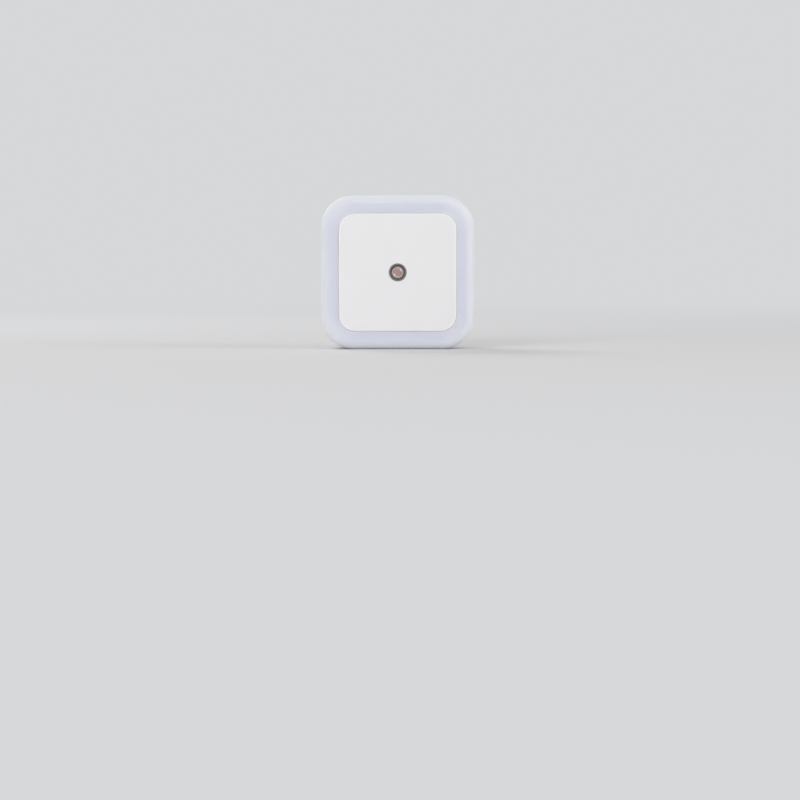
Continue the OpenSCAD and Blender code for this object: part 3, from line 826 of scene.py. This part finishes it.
def bead_groove(quarter):
    """Cutter for the round groove inside one wall of the diffuser, which a snap bead sits in."""
    out = body_w / 2 - WALL - FIT_GAP - BEAD_R + BEAD_PROUD
    ring = circle((body_back - BEAD_RISE, out), BEAD_R + FIT_GAP, BEAD_STEPS)
    made = prism_mesh("groove", ring, -BEAD_L / 2 - FIT_GAP, BEAD_L / 2 + FIT_GAP)
    for vertex in made.vertices:
        x, z = rotated(vertex.co.x, vertex.co.z, *quarter)
        vertex.co = (x, vertex.co.y, body_z + z)
    return made


def diffuser():
    """Milky shell: a rounded rim, a flat ring, and a seat for the cover, slotted for its hooks."""
    inside = WALL + FIT_GAP
    inner_w, inner_r = body_w - 2 * WALL, BODY_R - WALL
    seat_w, seat_r = cover_w + 2 * SEAT_GAP, COVER_R + SEAT_GAP
    rim = RIM_R - WALL
    rings = [(body_w, BODY_R, body_back - EDGE_R), (body_w, BODY_R, body_front + RIM_R + EASE)]
    rings += rounded_edge(body_w - 2 * RIM_R, BODY_R - RIM_R, body_front + RIM_R, RIM_R,
                          0, 90, RIM_STEPS)
    rings += [(body_w - 2 * RIM_R - EASE, BODY_R - RIM_R - EASE / 2, body_front),
              (seat_w + 2 * EDGE_R + EASE, seat_r + EDGE_R + EASE / 2, body_front)]
    rings += rounded_edge(seat_w + 2 * EDGE_R, seat_r + EDGE_R, body_front + EDGE_R, EDGE_R,
                          90, 180, EDGE_STEPS)
    rings += [(seat_w, seat_r, seat_y),
              (hole_w, hole_w / 2, seat_y),
              (hole_w, hole_w / 2, seat_y + WALL),
              (cover_w + 2 * inside, COVER_R + inside, seat_y + WALL),
              (cover_w + 2 * inside, COVER_R + inside, body_front + WALL)]
    rings += rounded_edge(inner_w - 2 * rim, inner_r - rim, body_front + WALL + rim, rim,
                          90, 0, RIM_INNER_STEPS)
    rings += [(inner_w, inner_r, body_back)]
    rings += rounded_edge(body_w - 2 * EDGE_R, BODY_R - EDGE_R, body_back - EDGE_R, EDGE_R,
                          -90, 0, BACK_EDGE_STEPS)[:-1]
    cutters = at_hooks(hook_slot) + [bead_groove(quarter) for quarter in QUARTERS]
    shell = combined(squares_mesh("diffuser_shell", rings), cutters, "DIFFERENCE")
    made = new_piece("diffuser_shell", shell, milky_plastic())
    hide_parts("diffuser")


def cover():
    """Flat plate with a finely rounded face, a tight fit in its seat, and four snap hooks."""
    core_w, core_r = cover_w - 2 * COVER_EDGE_R, COVER_R - COVER_EDGE_R
    tight = SEAT_GAP - TIGHT_GAP
    rings = [(cover_w + 2 * tight, COVER_R + tight, seat_y),
             (cover_w + 2 * tight, COVER_R + tight, body_front + GAP_DEPTH),
             (cover_w, COVER_R, body_front + GAP_DEPTH - tight)]
    rings += rounded_edge(core_w, core_r, cover_face + COVER_EDGE_R, COVER_EDGE_R,
                          0, 90, COVER_EDGE_STEPS)
    rings += [(core_w - EASE, core_r - EASE / 2, cover_face),
              (hole_w + 2 * EDGE_R + EASE, (hole_w + EASE) / 2 + EDGE_R, cover_face)]
    rings += rounded_edge(hole_w + 2 * EDGE_R, hole_w / 2 + EDGE_R, cover_face + EDGE_R, EDGE_R,
                          90, 180, EDGE_STEPS)
    rings += [(hole_w, hole_w / 2, seat_y)]
    plate = combined(squares_mesh("cover_plate", rings), at_hooks(hook), "UNION")
    made = new_piece("cover_plate", plate, cover_plastic())
    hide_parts("front_cover")


# ---- Copper and solder on the board ----

COPPER_T = 0.05 * MM        # copper under the solder mask
COPPER_W = 0.6 * MM
COPPER_AT = 21 * MM         # its line from LED to LED, from the middle of the board
COPPER_CORNER = 7 * MM      # cut off each corner of that line
LED_END = 1.6 * MM          # half of an LED's length, less what the copper runs in under it
FILM_LEAD_INSET = 1.5 * MM  # the film capacitor's wires, from its ends
CAN_LEAD_PITCH = 2.5 * MM
LEAD_R = 0.8 * MM           # insulated leads
SOLDER_R, SOLDER_H = 0.75 * MM, 0.55 * MM
SOLDER_STEPS = 24           # faces round each joint

board_low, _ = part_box("circuit_board")


def on_board(x, z, height):
    """A place on the board's front, from its middle, and so far in front of it."""
    return Vector((x, board_low.y - height, body_z + z))


def wire_places():
    """Where the wires of the parts behind the board come through it, as (x, z) from its middle."""
    places = []
    wire_r = PART_WIRE_D / 2
    for node in ("fusible_resistor", "bleed_resistor"):
        low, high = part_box(node)
        places += [(x, (low.z + high.z) / 2) for x in (low.x + wire_r, high.x - wire_r)]
    low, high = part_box("zener_diode")
    places += [((low.x + high.x) / 2, z) for z in (low.z + wire_r, high.z - wire_r)]
    low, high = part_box("film_capacitor")
    places += [(x, high.z - wire_r) for x in (low.x + FILM_LEAD_INSET, high.x - FILM_LEAD_INSET)]
    low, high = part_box("electrolytic_capacitor")
    places += [((low.x + high.x + side * CAN_LEAD_PITCH) / 2, (low.z + high.z) / 2)
               for side in (-1, 1)]
    for lead, pin in (("live_lead", "live_pin"), ("neutral_lead", "neutral_pin")):
        low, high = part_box(lead)
        pin_x = sum(corner.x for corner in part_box(pin)) / 2
        places.append((max((low.x + LEAD_R, high.x - LEAD_R), key=lambda x: abs(x - pin_x)),
                       (low.z + high.z) / 2))
    return [(x, z - body_z) for x, z in places]


def board_copper():
    """Copper from each LED to the next, clear of the solder joints and the screws."""
    line = [(LED_END, COPPER_AT), (COPPER_AT - COPPER_CORNER, COPPER_AT),
            (COPPER_AT, COPPER_AT - COPPER_CORNER), (COPPER_AT, LED_END)]

    def build(shape):
        for quarter in QUARTERS:
            ribbon(shape, [rotated(x, z, *quarter) for x, z in line],
                   COPPER_W, COPPER_T, 0.0, on_board)

    lacquer = solder_mask("green_copper", srgb(52, 128, 70), srgb(60, 140, 78), 0.005 * MM)
    new_piece("board_copper", mesh_from("board_copper", build), lacquer)


def solder_joints():
    """A shining cone of solder where each wire comes through the board."""
    profile = [(0, SOLDER_H), (0.25 * SOLDER_R, 0.95 * SOLDER_H), (0.4 * SOLDER_R, 0.6 * SOLDER_H),
               (0.65 * SOLDER_R, 0.25 * SOLDER_H), (SOLDER_R, 0.0), (0, 0)]

    def build(shape):
        for at_x, at_z in wire_places():
            turned(shape, profile, lambda x, z, height: on_board(at_x + x, at_z + z, height),
                   SOLDER_STEPS)

    new_piece("solder_joints", mesh_from("solder_joints", build), tinned_wire(),
              sharp=60)


diffuser()
cover()
photocell()
shroud()
board_copper()
solder_joints()


# ---- Stage, lights and camera ----

def floor(radius, near, far, background):
    """A pale floor that fades into the background, so that it has no edge from any side. The fade
    goes by one over the distance, as a low camera draws it, from near to far round the light."""
    rings = 48
    steps = 96
    level = cad_box[0][2]
    rim = circle((0, 0), 1.0, steps)
    points = [(0.0, 0.0, level)]
    faces = [(0, 1 + i, 1 + (i + 1) % steps) for i in range(steps)]
    for ring in range(1, rings + 1):
        reach = radius * (ring / rings) ** 2
        points += [(reach * x, reach * y, level) for x, y in rim]
        if ring > 1:
            inner, outer = 1 + (ring - 2) * steps, 1 + (ring - 1) * steps
            faces += [(inner + i, outer + i, outer + (i + 1) % steps, inner + (i + 1) % steps)
                      for i in range(steps)]
    mesh = bpy.data.meshes.new("floor")
    mesh.from_pydata(points, [], faces)
    made = added("floor", mesh)
    paper = Surface("pale_paper", Roughness=0.9, Specular_IOR_Level=0.1)
    paper.set("Base Color", paper.shades(paper.noise(0.6, 2), PAPER, tone(PAPER, 1.02)))
    away = paper.node("VectorMath", operation="LENGTH")
    paper.put(away.inputs[0], paper.place)
    drawn = paper.math("DIVIDE", 1.0, paper.math("ADD", away.outputs["Value"], CAMERA_AWAY))
    share = paper.span(drawn, 1.0, 0.0, 1 / (far + CAMERA_AWAY), 1 / (near + CAMERA_AWAY),
                       "SMOOTHERSTEP")
    seen = paper.math("MULTIPLY", share, seen_directly(paper.tree))
    glow = paper.node("Emission")
    glow.inputs["Color"].default_value = background
    fade = paper.node("MixShader")
    for socket, value in zip(fade.inputs, (seen, paper.shader.outputs[0], glow.outputs[0])):
        paper.put(socket, value)
    paper.put(paper.tree.nodes["Material Output"].inputs["Surface"], fade.outputs[0])
    mesh.materials.append(paper.material)


def seen_directly(tree):
    """1 for what the camera sees, straight or in gloss or glass, and 0 for light on things."""
    path = tree.nodes.new("ShaderNodeLightPath")
    share = path.outputs["Is Camera Ray"]
    for ray in ("Is Glossy Ray", "Is Transmission Ray"):
        either = tree.nodes.new("ShaderNodeMath")
        either.operation = "MAXIMUM"
        tree.links.new(share, either.inputs[0])
        tree.links.new(path.outputs[ray], either.inputs[1])
        share = either.outputs[0]
    return share


def lamp(name, place, size, power):
    """A round, soft, white lamp that faces the origin."""
    light = bpy.data.lights.new(name, "AREA")
    light.shape = "DISK"
    light.size = size
    light.energy = power
    made = added(name, light)
    made.location = place
    made.rotation_euler = (-Vector(place)).to_track_quat("-Z", "Y").to_euler()


def sky(strength, background):
    """Even light from all round, with a pale background behind it."""
    world = bpy.data.worlds.new("studio")
    world.use_nodes = True
    tree = world.node_tree
    light = tree.nodes["Background"]
    light.inputs["Color"].default_value = (1.0, 1.0, 1.0, 1.0)
    light.inputs["Strength"].default_value = strength
    shown = tree.nodes.new("ShaderNodeBackground")
    shown.inputs["Color"].default_value = background
    choose = tree.nodes.new("ShaderNodeMixShader")
    sources = (seen_directly(tree), light.outputs[0], shown.outputs[0])
    for socket, source in zip(choose.inputs, sources):
        tree.links.new(source, socket)
    tree.links.new(choose.outputs[0], tree.nodes["World Output"].inputs["Surface"])
    bpy.context.scene.world = world


def photograph_camera():
    """Stands level with the light, so far off that it draws the body as wide as the photograph."""
    focal_px = LENS / SENSOR * PHOTO_PX
    tilt = math.atan((PHOTO_PX / 2 - LIGHT_PX[1]) / focal_px)
    turn = math.atan((PHOTO_PX / 2 - LIGHT_PX[0]) / focal_px)
    distance = focal_px * body_w / BODY_PX / math.cos(tilt)
    data = bpy.data.cameras.new("camera")
    data.lens = LENS
    data.sensor_width = SENSOR
    made = added("camera", data)
    made.location = (0, body_front + RIM_R - distance, body_z)
    made.rotation_euler = (math.pi / 2 - tilt, 0, -turn)
    bpy.context.scene.camera = made


BACKGROUND = srgb(214, 215, 217)
PAPER = srgb(222, 222, 223)
CAMERA_AWAY = 0.8           # about how far the camera stands off

floor(radius=6.0, near=0.08, far=1.6, background=BACKGROUND)
lamp("key", (-0.65, -1.38, 0.48), size=1.0, power=9.5)
lamp("fill", (1.25, -0.4, 0.3), size=0.8, power=5.7)
lamp("back_fill", (-0.5, 0.6, 0.7), size=0.6, power=3.0)
sky(strength=0.54, background=BACKGROUND)
photograph_camera()
bpy.context.scene.view_settings.view_transform = "Standard"
